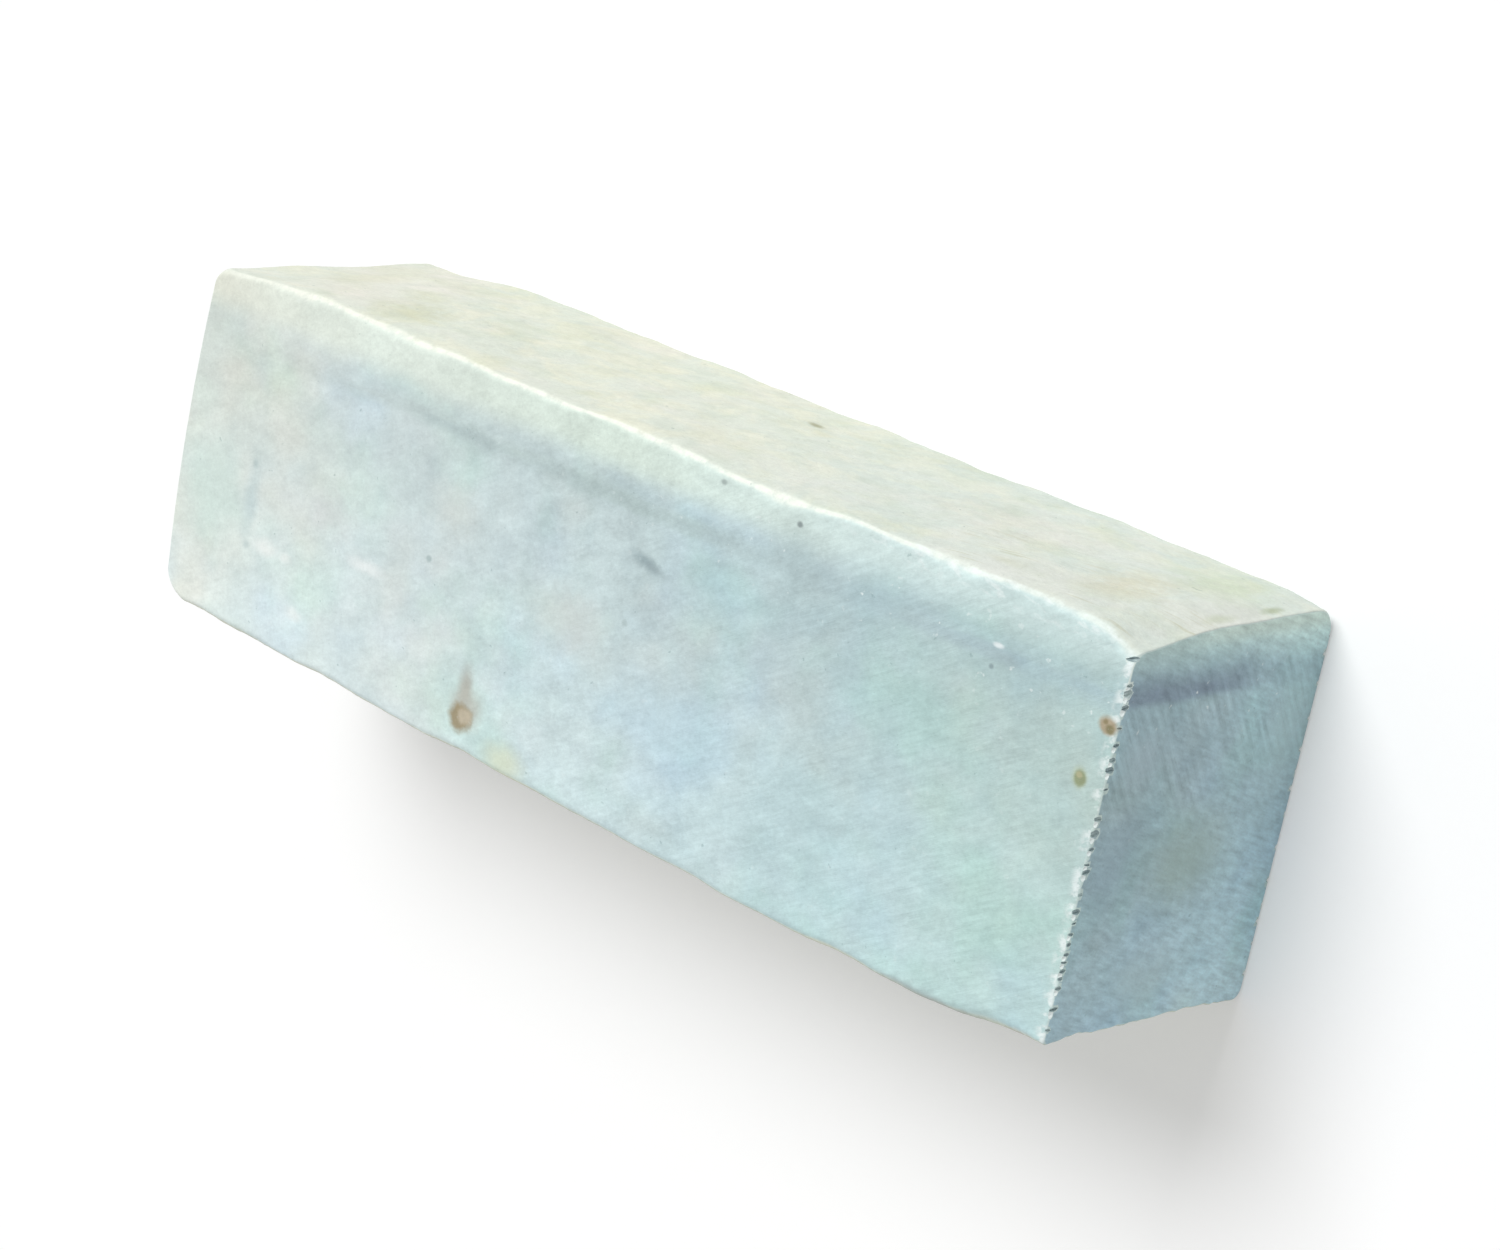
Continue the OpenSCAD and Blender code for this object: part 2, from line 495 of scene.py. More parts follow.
    def dress(self) -> bpy.types.Material:
        """Makes the material.

        Returns:
            The material, with its node tree.
        """
        material = bpy.data.materials.new("natural_stone")
        material.use_nodes = True
        b = Bench(material.node_tree)
        place = b.value("ShaderNodeTexCoord", None, None, "Object")
        where = b.value("ShaderNodeMapping", None,
                        {"Vector": place, "Scale": (1 / MM, 1 / MM, 1 / MM)})
        facing = b.value("ShaderNodeAttribute", {"attribute_name": "facing"}, None, "Vector")
        cut = b.value("ShaderNodeAttribute", {"attribute_name": "cut"}, None, "Fac")
        colour = self._body(b, where, facing)
        colour = self._bedding(b, where, facing, colour)
        colour = self._mottle(b, where, colour)
        colour = self._skin(b, where, facing, colour)
        saw = self._saw(b, where, facing)
        colour = b.shade(colour, 1 + (saw - 0.5) * 0.2)
        colour = self._arrises(b, where, facing, cut, colour)
        colour = self._blots(b, where, colour)
        colour = self._grain(b, where, colour)
        normal = self._bump(b, where, facing, saw)
        surface = b.node("ShaderNodeBsdfPrincipled", None,
                         {"Base Color": colour, "Roughness": self.roughness,
                          "Specular IOR Level": self.shine, "Normal": normal})
        b.node("ShaderNodeOutputMaterial", None, {"Surface": surface.outputs["BSDF"]})
        return material

    def _along(self, b: Bench, where: Value, stops: Stops, drift: float = 0.0) -> Value:
        """Gives a colour that changes along the stick.

        Args:
            b: the bench.
            where: the place in the stone.
            stops: the colours, as (share of the length, colour).
            drift: how far the colours wander along the stick, as a share of the length.

        Returns:
            The colour.
        """
        x, _, _ = b.split(where)
        share = x / (2 * self.half_l) + 0.5
        if drift:
            share = share + (b.noise(where, 0.12, 2) - 0.5) * drift
        return b.value("ShaderNodeValToRGB", {"stops": list(stops)}, {0: share})

    def _body(self, b: Bench, where: Value, facing: Value) -> Value:
        """Colours the body: cooler and deeper towards the right end, with soft clouds.

        Args:
            b: the bench.
            where: the place in the stone.
            facing: which way the surface faces there.

        Returns:
            The colour.
        """
        _, y, z = b.split(where)
        on_end = self._on_end(b, facing)
        colour = self._along(b, where, self.body, 0.3)
        colour = b.shade(colour, b.ramp(y, -10.0, 6.0, 1.09, 0.95))
        # On the ends, painted bounce light lightens the body towards the rest side; it is also
        # lighter towards the near side
        painted_bounce_and_tone = b.ramp(z, 15, 1, 0.98, 1.22) * b.ramp(y, -8.5, 1, 1.14, 0.97)
        colour = b.mix(on_end, colour, b.shade(self.end_body_tint_and_shade, painted_bounce_and_tone))
        return self._clouded(b, where, colour, self.body_clouds, (2.5, 0.5), 0.75)

    @staticmethod
    def _clouded(b: Bench, where: Value, colour: Value, clouds: tuple[Cloud, ...],
                 layers: tuple[float, float], full: float) -> Value:
        """Tints a colour with soft clouds.

        Args:
            b: the bench.
            where: the place in the stone.
            colour: the colour under them.
            clouds: the clouds, one layer over the other.
            layers: how many finer layers lie on their noise, and how strong these are.
            full: the noise at which a cloud is full.

        Returns:
            The tinted colour.
        """
        for cloud in clouds:
            noise = b.noise(where + (cloud.shift,) * 3, cloud.scale, *layers)
            share = b.ramp(noise, 0.45, full, 0, cloud.amount)
            colour = b.mix(share, colour, cloud.tint, "MULTIPLY")
        return colour

    @staticmethod
    def _on_end(b: Bench, facing: Value) -> Value:
        """Gives 1 on the right end and 0 elsewhere."""
        turned, _, _ = b.split(facing)
        return b.ramp(turned, 0.6, 0.95)

    def _bedding(self, b: Bench, where: Value, facing: Value, colour: Value) -> Value:
        """Lays the dark band and the pale rind, which follow the bedding through the stone.

        Args:
            b: the bench.
            where: the place in the stone.
            facing: which way the surface faces there.
            colour: the colour under this.

        Returns:
            The new colour.
        """
        x, y, z = b.split(where)
        on_end = self._on_end(b, facing)
        sway = (b.noise(where, 0.22, 3, 0.55) - 0.5) * 0.5
        rise = b.ramp(x, 8, 22) * 0.25 + on_end * (b.ramp(z, 7, 1, 0, -0.3) + 0.3)
        over = y - (self.band_foot + rise) + sway
        reach = self.band_reach + b.ramp(x, 6, 22, 0, 0.4)
        # The band, in patches and streaks, which fades out towards the left end
        streaks = b.streaks(where, (6.0, 0.4, 3.0), (0, 0, 3), 4, 0.6)
        patchy = b.ramp(b.noise(where + (5, 5, 5), 0.2, 3, 0.6), 0.3, 0.62, 0.45, 1.0)
        patchy = patchy * b.ramp(streaks, 0.3, 0.62, 0.55, 1.05)
        patchy = patchy + (1 - patchy) * on_end * 0.6
        fade = b.ramp(x, -26.5, -17.0) * (1 - on_end * b.ramp(z, 9.0, 4.5, 0, 0.75))
        fade = fade * (1 - b.bell(x, 13, 14) * (1 - on_end) * 0.35)
        band = b.ramp(over, -0.35, 0.25) * (1 - b.ramp(over, 0.3, reach)) * patchy * fade
        # On the ends the band takes its own bluer colour, partly a painted cool shade
        tone = b.mix(on_end, self._along(b, where, self.band), self.end_band_tint_and_shade)
        colour = b.mix(band, colour, tone)
        seams = b.noise(b.placed(where, (6.0, 1.6, 3.0), at=(0, 0, 9)), 1.0)
        seams = b.ramp(seams, 0.42, 0.60)
        seams = seams * b.bell(over, 0.3, 0.5) * fade * (1 - on_end)
        colour = b.mix(seams * 0.55, colour, self.band_seam)
        # The rind above it, and its border on the ends
        rind = b.ramp(over, 0.9, reach + 1.1)
        # Painted bounce light lightens the rind on the ends towards the rest side
        lit = b.shade(self.end_rind_tint_and_shade, b.ramp(z, 15, 1, 0.95, 1.25))
        pale = b.mix(on_end, self._along(b, where, self.rind, 0.2), lit)
        colour = b.mix(rind * 0.95, colour, pale)
        border = on_end * b.ramp(y + sway, 9.2, 10.2) * b.ramp(z, 13, 9, 0.2, 0.8)
        return b.mix(border, colour, self.end_border)

    def _mottle(self, b: Bench, where: Value, colour: Value) -> Value:
        """Mottles the sawn faces, as the saw's dust and the stone's own grain do.

        Args:
            b: the bench.
            where: the place in the stone.
            colour: the colour under this.

        Returns:
            The new colour.
        """
        x, _, _ = b.split(where)
        flecks = b.noise(b.placed(where, (1.3, 0.8, 0.9), (0, 0, 20)), 0.5, 5, 0.8)
        amount = b.ramp(x, -18, -2, 0.42, 0.64) * b.ramp(x, 6, 20, 1.0, 0.75)
        colour = b.shade(colour, 1 + (flecks - 0.5) * amount)
        soft = b.noise(where + (61, 0, 0), 0.16, 2, 0.5) - 0.5
        return b.shade(colour, 1 + soft * 0.12)

    def _skin(self, b: Bench, where: Value, facing: Value, colour: Value) -> Value:
        """Colours the two natural sides.

        Args:
            b: the bench.
            where: the place in the stone.
            facing: which way the surface faces there.
            colour: the colour under this.

        Returns:
            The new colour.
        """
        x, _, z = b.split(where)
        _, across, _ = b.split(facing)
        mottle = b.noise(where, 0.35, 5, 0.6, 0.5)
        far = b.ramp(across + (mottle - 0.5) * 0.3, 0.55, 0.85)
        near = b.ramp(-across + (mottle - 0.5) * 0.3, 0.45, 0.8)
        ground, mottled, pale, fibrous = self.far_skin
        far_tone = b.mix(b.ramp(mottle, 0.4, 0.65), ground, mottled)
        far_tone = b.mix(b.ramp(b.noise(where + (31, 0, 0), 0.12, 3), 0.45, 0.7), far_tone, pale)
        ground, mottled, damp = self.near_skin
        near_tone = b.mix(b.ramp(mottle, 0.4, 0.7), ground, mottled)
        damp_part = b.ramp(b.noise(where + (0, 31, 0), 0.2, 4, 0.6), 0.5, 0.7, 0, 0.7)
        near_tone = b.mix(damp_part, near_tone, damp)
        fibres = b.streaks(where, (3.2, 1.0, 0.22), (0, 16, 0), 3, 0.6)
        golden = b.ramp(x, 8, 24) * b.ramp(z, 4, 12, 0.1, 1.0) * b.ramp(fibres, 0.54, 0.68)
        golden = golden * b.ramp(b.noise(where + (0, 0, 57), 0.3, 2), 0.45, 0.65)
        far_tone = b.mix(golden * 0.55, far_tone, fibrous)
        far_tone = self._clouded(b, where, far_tone, self.skin_clouds, (3, 0.55), 0.7)
        far_tone = b.mix(b.ramp(x, 0, 13), far_tone, self.far_cool, "MULTIPLY")
        colour = b.mix(far, colour, far_tone)
        return b.mix(near, colour, near_tone)

    def _blots(self, b: Bench, where: Value, colour: Value) -> Value:
        """Lays the single marks, one over the other.

        Args:
            b: the bench.
            where: the place in the stone.
            colour: the colour under this.

        Returns:
            The new colour.
        """
        wander = b.noise(where, 1.1, 4, 0.6, colour=True) - 0.5
        for blot in self.blots:
            seen = b.placed(where + wander * blot.ragged, blot.reach, blot.turn, blot.at)
            depth = b.value("ShaderNodeTexGradient", {"gradient_type": "SPHERICAL"},
                            {"Vector": seen}, "Fac")
            share = b.ramp(depth, 0, 1 - blot.core, 0, blot.strength)
            colour = b.mix(share, colour, blot.colour)
        return colour

    def _saw(self, b: Bench, where: Value, facing: Value) -> Value:
        """Gives the saw's marks, from 0 in a groove to 1 on a ridge, with 0.5 for none.

        Args:
            b: the bench.
            where: the place in the stone.
            facing: which way the surface faces there.

        Returns:
            The marks.
        """
        x, y, z = b.split(where)
        end, _, level = b.split(facing)
        # The large face, scored most towards its right end
        on_face = b.streaks(where, (1.5, 0.26, 1.0), (0, 0, self.face_turn), 3, 0.6) - 0.5
        on_face = on_face * b.ramp(b.noise(where, 0.25), 0.3, 0.6, 0.5, 1.0)
        face_part = b.ramp(abs(level), 0.8, 0.95) * b.ramp(x, -14, 20, 0.5, 1.5)
        # The ends: tooth marks by the band, and fine scores across them elsewhere
        wobble = b.noise(where, 0.45) * 0.9
        turn = math.radians(self.tooth_turn)
        teeth = b.sine((z * math.cos(turn) - y * math.sin(turn)) / self.tooth_pitch + wobble)
        scored = b.streaks(where, (1.0, 2.8, 0.3), (self.tooth_turn, 0, 0)) - 0.5
        zone = b.bell(y, 4.9, 3.6) * b.ramp(b.noise(where, 0.3), 0.32, 0.6, 0.25, 1.0)
        cross = b.streaks(where, (1.0, 0.26, 1.0), (-18, 0, 0)) - 0.5
        on_end = (teeth * 0.2 + scored * 2.4) * zone + cross * (1 - zone * 0.5) * 2.2
        end_part = b.ramp(abs(end), 0.8, 0.95) * b.ramp(end, -1, 1, 0.7, 1.7)
        return on_face * face_part + on_end * end_part + 0.5

    def _arrises(self, b: Bench, where: Value, facing: Value, cut: Value, colour: Value) -> Value:
        """Whitens the worn arrises, partly as wear and partly as a painted highlight, and tones
        what the saw broke out, with painted shade in the nicks.

        Args:
            b: the bench.
            where: the place in the stone.
            facing: which way the surface faces there.
            cut: the tone that a cutter left there, or 0 where none cut.
            colour: the colour under this.

        Returns:
            The new colour.
        """
        x, y, z = b.split(where)
        end, across, level = b.split(facing)
        flattest = b.most(abs(end), b.most(abs(across), abs(level)))
        crumb = b.noise(where, 1.1, 4, 0.6)
        # The worn arrises are whitened: partly wear and partly a painted highlight, strongest by
        # the far top arris
        crest_wear_and_highlight = b.least(b.ramp(y, 6, 9), b.ramp(z, self.top - 3, self.top - 1))
        worn = (1 - b.ramp(flattest, 0.78, 0.97)) * b.ramp(crumb, 0.3, 0.55, 0.35, 1.0)
        colour = b.mix(worn * (crest_wear_and_highlight * 0.6 + 0.35), colour, self._along(b, where, self.crest_wear_and_highlight))
        # Layered flakes of the rind by the right part of the far arris
        flaky = b.streaks(where, (1.2, 0.45, 0.6), (0, 0, -10), 3, 0.6)
        strip = b.ramp(y, 9.2, 9.9) * b.ramp(level, 0.25, 0.6) * b.ramp(x, 12, 20)
        colour = b.mix(strip * b.ramp(flaky, 0.5, 0.66) * 0.5, colour, self.crushed)
        # A light border along the torn arris
        edge = b.ramp(x, self.half_l - 0.8, self.half_l - 0.2) * b.ramp(level, 0.5, 0.9)
        flakes = b.streaks(where, (0.8, 0.6, 1.0), (0, 0, 25), 3, 0.6)
        colour = b.mix(edge * b.ramp(flakes, 0.45, 0.62, 0.05, 0.85), colour, self.crushed)
        # White crushed stone in the chips and flakes, and dirt and painted shade in the nicks
        colour = b.mix(b.ramp(cut, 0.05, 0.95, 0, 0.8), colour, self.crushed)
        soiled_and_shaded = b.ramp(cut, -0.05, -0.8) * b.ramp(b.noise(where, 1.4), 0.3, 0.6, 0.35, 0.75)
        return b.mix(soiled_and_shaded, colour, self.dirt_and_shade)

    def _grain(self, b: Bench, where: Value, colour: Value) -> Value:
        """Adds the fine grain of the stone, its pores and its pale specks.

        Args:
            b: the bench.
            where: the place in the stone.
            colour: the colour under this.

        Returns:
            The new colour.
        """
        x, y, _ = b.split(where)
        grain = b.noise(where, 2.2, 4, 0.7)
        fine = b.noise(where, 6.0, 2, 0.6)
        colour = b.shade(colour, 1 + (grain - 0.5) * 0.26 + (fine - 0.5) * 0.14)
        pores = b.ramp(b.noise(where + (3, 7, 11), 2.4), 0.72, 0.78, 0, 0.5)
        colour = b.mix(pores, colour, self.pore, "MULTIPLY")
        specks = b.ramp(b.noise(where + (11, 3, 7), 2.0), 0.68, 0.76)
        zone = b.ramp(x, -2, 10) * b.bell(y, 7.0, 1.6)
        return b.mix(specks * (zone * 0.6 + 0.12), colour, self.crushed)

    def _bump(self, b: Bench, where: Value, facing: Value, saw: Value) -> Value:
        """Gives the small relief that is too fine for the mesh.

        Args:
            b: the bench.
            where: the place in the stone.
            facing: which way the surface faces there.
            saw: the saw's marks.

        Returns:
            The surface's normal, with that relief.
        """
        _, across, _ = b.split(facing)
        natural = b.ramp(abs(across), 0.5, 0.9, 0.6, 1.6)
        grain = (b.noise(where, 3.2, 4, 0.65) + b.noise(where, 1.1, 3, 0.6)) * natural
        return b.value("ShaderNodeBump", None, {"Strength": 0.5, "Distance": self.relief,
                                                "Height": saw * 0.8 + grain})


@dataclass(frozen=True)
class Hollow:
    """A shallow hollow in a natural side.

    Attributes:
        side: the sign of Y of its side.
        along: its place, as a share of the length.
        up: its place, as a share of the height.
        reach: how far it spreads along and up, in millimetres.
        depth: its depth, in millimetres.
    """

    side: int
    along: float
    up: float
    reach: tuple[float, float]
    depth: float


@dataclass(frozen=True)
class Wear:
    """A place where a long arris is worn further back.

    Attributes:
        corner: the arris.
        along: its place, as a share of the length.
        reach: how far it spreads, in millimetres.
        share: its share of the chip depth.
    """

    corner: Corner
    along: float
    reach: float
    share: float


@dataclass(frozen=True)
class Bite:
    """One cutter that takes a little stone away.

    Attributes:
        at: its centre, in millimetres.
        reach: its half sizes, in millimetres.
        turn: how far it is turned, in degrees.
        cut: what it leaves.
    """

    at: Triple
    reach: Triple
    turn: Triple
    cut: Cut


@dataclass(frozen=True)
class BiteSizes:
    """How large the bites of one sort are, as half sizes in millimetres.

    Attributes:
        least: those of the smallest bite.
        growth: what the full size adds to them.
    """

    least: Triple
    growth: Triple

    def at(self, size: float) -> Triple:
        """Gives the half sizes for a size from 0 to 1."""
        return tuple(least + growth * size for least, growth in zip(self.least, self.growth))


# The inputs of the stick's node tree, and the stick's own names for them
DRIVING_SIZES = {"Length": "length", "Width": "width", "Height": "height",
                 "Worn radius": "worn_r", "Crisp radius": "crisp_r",
                 "Corner radius": "corner_r", "Crown rise": "crown_rise",
                 "Near bow": "near_bow", "End bulge": "end_bulge"}
SHARP_ANGLE = 40                              # edges that turn further than this stay sharp
UNLIKE_PITCH = 1.618                          # waves of this ratio never line up
KIND_GAP = 0.05                               # kinds of cut lie further apart than this
LEAST_RIM = 0.0001                            # keeps the middle of a cap from dividing by 0
LEAST_OFF = 0.001                             # keeps the ends' arris from dividing by 0


@dataclass
class StoneStick:
    """The stick of stone, whose shape follows the mason's rule. Sizes are in millimetres.

    Attributes:
        length: between the two sawn ends.
        width: the slab's thickness, over the natural sides.
        height: between the two sawn long sides.
        crown_rise: rise of a natural side between its long arrises.
        near_bow: how far the near natural side swells out along the stick.
        bow_peak: where that swelling is widest, as a share of the length.
        bow_power: how the swelling rounds off.
        hollow_depth: depth of the deepest hollow in a natural side.
        ripple_height: height of the ripples that splitting leaves.
        ripple_pitch: distance from one ripple to the next.
        worn_r: radius of the long arrises.
        worn_swing: how much that radius swells and shrinks.
        worn_waves: the waves of that swing, as (length, shift from one arris to the next).
        crisp_r: radius of the arrises round the ends.
        corner_r: radius between the left end and the near natural side.
        far_corner_r: radius between the left end and the far natural side.
        corner_wear: how far the other corners are worn back.
        chip_depth: depth of the chips along the long arrises.
        end_bulge: how far the left end bulges.
        rough_height: height of the split stone's roughness.
        near_rough_height: height of what the near natural side has besides.
        least_r: the sharpest that a long arris can be.
        cells: how many corners the fine box has along each axis.
        grading: how strongly its cells crowd towards its rims.
        inset_unit: what a section shrinks by for one unit past its rim.
        bend_reach: how far from the left end its bulge is felt.
        seed: start of the rule that varies the nicks.
        nick_turn: how far the nicks slant, in degrees.
        nick_lean: how far they lean either way of that, in degrees.
        nick_swing: how far their widths vary, as a share.
        nick_sizes: how large they are.
        flake_from: the size from which a nick has a flake beside it.
        flake_sizes: how large the flakes are.
        back_nicks: how many small nicks the right end's rest arris has.
        back_sizes: how large these are.
        nicks: the nicks of the torn arris, as (share of the width, share of the full size).
        name: the piece's name.
    """

    length: float = LENGTH
    width: float = WIDTH
    height: float = TOP
    crown_rise: float = 0.2
    near_bow: float = 1.3
    bow_peak: float = 0.87
    bow_power: float = 1.4
    hollow_depth: float = 0.3
    ripple_height: float = 0.14
    ripple_pitch: float = 5.5
    worn_r: float = 0.5
    worn_swing: float = 0.15
    worn_waves: tuple[tuple[float, float], ...] = ((23.0, 110 / 360), (9.1, 50 / 360))
    crisp_r: float = 0.16
    corner_r: float = 1.7
    far_corner_r: float = 0.9
    corner_wear: float = 0.8
    chip_depth: float = 0.5
    end_bulge: float = 0.6
    rough_height: float = 0.2
    near_rough_height: float = 0.45
    least_r: float = 0.2
    cells: tuple[int, int, int] = (216, 90, 70)
    grading: Triple = (0.96, 0.9, 0.9)
    inset_unit: float = 9.0
    bend_reach: float = 10.0
    seed: int = 11
    nick_turn: float = 25.0
    nick_lean: float = 9.0
    nick_swing: float = 0.35
    nick_sizes: BiteSizes = BiteSizes((0.42, 0.08, 0.20), (0.48, 0.17, 0.22))
    flake_from: float = 0.4
    flake_sizes: BiteSizes = BiteSizes((0.22, 0.12, 0.12), (0.16, 0.14, 0.0))
    back_nicks: int = 14
    back_sizes: BiteSizes = BiteSizes((0.16, 0.08, 0.14), (0.2, 0.08, 0.14))
    nicks: tuple[tuple[float, float], ...] = (
        (0.085, 0.40), (0.134, 1.00), (0.183, 0.60), (0.205, 0.35), (0.223, 0.60),
        (0.244, 0.50), (0.262, 0.45), (0.285, 0.35), (0.309, 0.45), (0.335, 0.35),
        (0.361, 0.85), (0.400, 0.35), (0.452, 0.90), (0.470, 0.45), (0.505, 0.45),
        (0.539, 0.95), (0.574, 0.80), (0.642, 0.35), (0.685, 0.95), (0.707, 0.55),
        (0.741, 0.60), (0.780, 0.35), (0.825, 0.75), (0.856, 0.95), (0.875, 0.50),
        (0.947, 1.00))
    name: str = "slate_pencil_stone"

    def hollows(self) -> list[Hollow]:
        """Lists the hollows of the natural sides.

        Returns:
            The hollows of both sides.
        """
        deep, worn = self.hollow_depth, self.corner_wear
        return [Hollow(1, 0.645, 1.00, (6.5, 11), deep),
                Hollow(1, 0.38, 0.80, (7.0, 9), deep * 0.8),
                Hollow(1, 0.00, 0.50, (5.5, 14), worn * 0.9),
                Hollow(1, 1.00, 1.00, (1.6, 5), worn * 1.1),
                Hollow(1, 1.00, 0.40, (1.1, 6), worn * 0.45),
                Hollow(-1, 1.00, 0.90, (4.5, 13), worn * 0.7),
                Hollow(-1, 0.22, 0.35, (7.0, 6), deep),
                Hollow(-1, 0.58, 0.20, (6.0, 5), deep * 1.2)]

    def wears(self) -> list[Wear]:
        """Lists the places where the long arrises are worn further back.

        Returns:
            The worn places of all four arrises.
        """
        places = {
            Corner.FAR_TOP: ((0.66, 1.1, 1.0), (0.12, 0.9, 0.5), (0.83, 1.3, 0.6), (1.0, 1.2, 0.7)),
            Corner.NEAR_TOP: ((0.95, 1.6, 0.9), (0.86, 0.8, 0.4)),
            Corner.NEAR_REST: ((0.30, 1.5, 0.9), (0.71, 1.8, 0.7)),
            Corner.FAR_REST: ((0.52, 1.6, 0.5), (0.04, 4.0, 2.4), (1.0, 3.5, 1.9))}
        return [Wear(corner, *one) for corner, found in places.items() for one in found]

    def bites(self) -> list[Bite]:
        """Lists what the saw and knocks took away: nicks, flakes and chips.

        Returns:
            The cutters' sizes and places.
        """
        half_l, half_w = self.length / 2, self.width / 2
        found = []
        for k, (up, size) in enumerate(self.nicks):
            y = up * self.width - half_w
            lean = self.nick_lean * math.sin(2.4 * k + self.seed)
            wide = 1 + self.nick_swing * math.sin(4.7 * k)
            long, broad, deep = self.nick_sizes.at(size)
            found.append(Bite((half_l + 0.1, y, self.height - 0.1), (long, broad * wide, deep),
                              (lean, 50 + lean, self.nick_turn + lean), Cut.NICK))
            if size > self.flake_from:
                found.append(Bite((half_l - 0.04, y - 0.16 - 0.2 * size, self.height + 0.02),
                                  self.flake_sizes.at(size),
                                  (10 - lean, 40 + lean, self.nick_turn - lean), Cut.FLAKE))
        found.append(Bite((half_l - 0.15, half_w - 1.5, self.height - 0.05), (1.1, 0.2, 0.36),
                          (0, 22, 14), Cut.NICK))
        for k in range(self.back_nicks):
            y = half_w * (0.9 - 1.8 * (k + 0.5 + 0.3 * math.sin(5.1 * k)) / self.back_nicks)
            size = 0.5 + 0.4 * math.sin(3.7 * k + self.seed)
            found.append(Bite((half_l - 0.02, y, 0.02), self.back_sizes.at(size),
                              (0, -40, 20), Cut.CHIP))
        return found

    def build(self, material: bpy.types.Material) -> bpy.types.Object:
        """Builds the stick.

        Args:
            material: its finish.

        Returns:
            The finished object, with a plain mesh.
        """
        obj = bpy.data.objects.new(self.name, self._bite_points())
        bpy.context.scene.collection.objects.link(obj)
        tree = self._tree()
        modifier = obj.modifiers.new("stone", "NODES")
        modifier.node_group = tree
        inputs = {name: getattr(self, size) for name, size in DRIVING_SIZES.items()}
        inputs["Finish"] = material
        for item in tree.interface.items_tree:
            if item.name in inputs:
                modifier[item.identifier] = inputs[item.name]
        ready = bpy.context.evaluated_depsgraph_get()
        mesh = bpy.data.meshes.new_from_object(obj.evaluated_get(ready), depsgraph=ready)
        obj.modifiers.remove(modifier)
        obj.data = mesh
        mesh.name = self.name
        mesh.calc_loop_triangles()
        LOG.info("%s: %d corners, %d triangles", self.name, len(mesh.vertices),
                 len(mesh.loop_triangles))
        return obj

    def _bite_points(self) -> bpy.types.Mesh:
        """Makes a mesh of one point for each bite, with its size, turn and kind.

        Returns:
            The mesh of points.
        """
        bites = self.bites()
        mesh = bpy.data.meshes.new("bites")
        mesh.from_pydata([bite.at for bite in bites], [], [])
        for name, values in (("reach", [bite.reach for bite in bites]),
                             ("turn", [tuple(map(math.radians, bite.turn)) for bite in bites])):
            store = mesh.attributes.new(name, "FLOAT_VECTOR", "POINT")
            store.data.foreach_set("vector", [part for value in values for part in value])
        store = mesh.attributes.new("kind", "FLOAT", "POINT")
        store.data.foreach_set("value", [bite.cut.value for bite in bites])
        return mesh

    def _tree(self) -> bpy.types.NodeTree:
        """Makes the node tree of the stick's rule.

        Returns:
            The tree, with the driving sizes as its inputs.
        """
        tree = bpy.data.node_groups.new("stone_stick", "GeometryNodeTree")
        tree.interface.new_socket("Bites", in_out="INPUT", socket_type="NodeSocketGeometry")
        for name in DRIVING_SIZES:
            tree.interface.new_socket(name, in_out="INPUT", socket_type="NodeSocketFloat")
        tree.interface.new_socket("Finish", in_out="INPUT", socket_type="NodeSocketMaterial")
        tree.interface.new_socket("Stone", in_out="OUTPUT", socket_type="NodeSocketGeometry")
        b = Bench(tree)
        given = b.node("NodeGroupInput")
        size = {one.name: Value(b, one) for one in given.outputs if one.name}
        block = self._block(b, size)
        cutters = self._cutters(b, size["Bites"])
        cut = b.value("GeometryNodeMeshBoolean",
                      {"operation": "DIFFERENCE", "solver": "MANIFOLD"},
                      {"Mesh 1": block, "Mesh 2": cutters}, "Mesh")
        scaled = b.value("GeometryNodeTransform", None,
                         {"Geometry": cut, "Scale": (MM, MM, MM)})
        smooth = b.value("GeometryNodeSetShadeSmooth", {"domain": "FACE"},
                         {"Geometry": scaled, "Shade Smooth": True})
        angle = b.value("GeometryNodeInputMeshEdgeAngle")
        sharp = b.value("GeometryNodeSetShadeSmooth", {"domain": "EDGE"},
                        {"Geometry": smooth, "Selection": angle > math.radians(SHARP_ANGLE),
                         "Shade Smooth": False})
        real = b.value("GeometryNodeRealizeInstances", None, {"Geometry": sharp})
        dressed = b.value("GeometryNodeSetMaterial", None,
                          {"Geometry": real, "Material": size["Finish"]})
        b.node("NodeGroupOutput", None, {"Stone": dressed})
        return tree

    def _block(self, b: Bench, size: dict[str, Value]) -> Value:
        """Shapes the block: a fine box carried onto the worn, riven form.

        Args:
            b: the bench.
            size: the tree's inputs.

        Returns:
            The block's geometry, in millimetres.
        """
        half_l, half_w, half_h = (size[name] / 2 for name in ("Length", "Width", "Height"))
        nx, ny, nz = self.cells
        box = b.value("GeometryNodeMeshCube", None,
                      {"Size": (2.0, 2.0, 2.0), "Vertices X": nx, "Vertices Y": ny,
                       "Vertices Z": nz}, "Mesh")
        shares = b.split(b.value("GeometryNodeInputPosition"))
        x, y, z = (self._graded(b, share, k) * half
                   for share, k, half in zip(shares, self.grading, (half_l, half_w, half_h)))
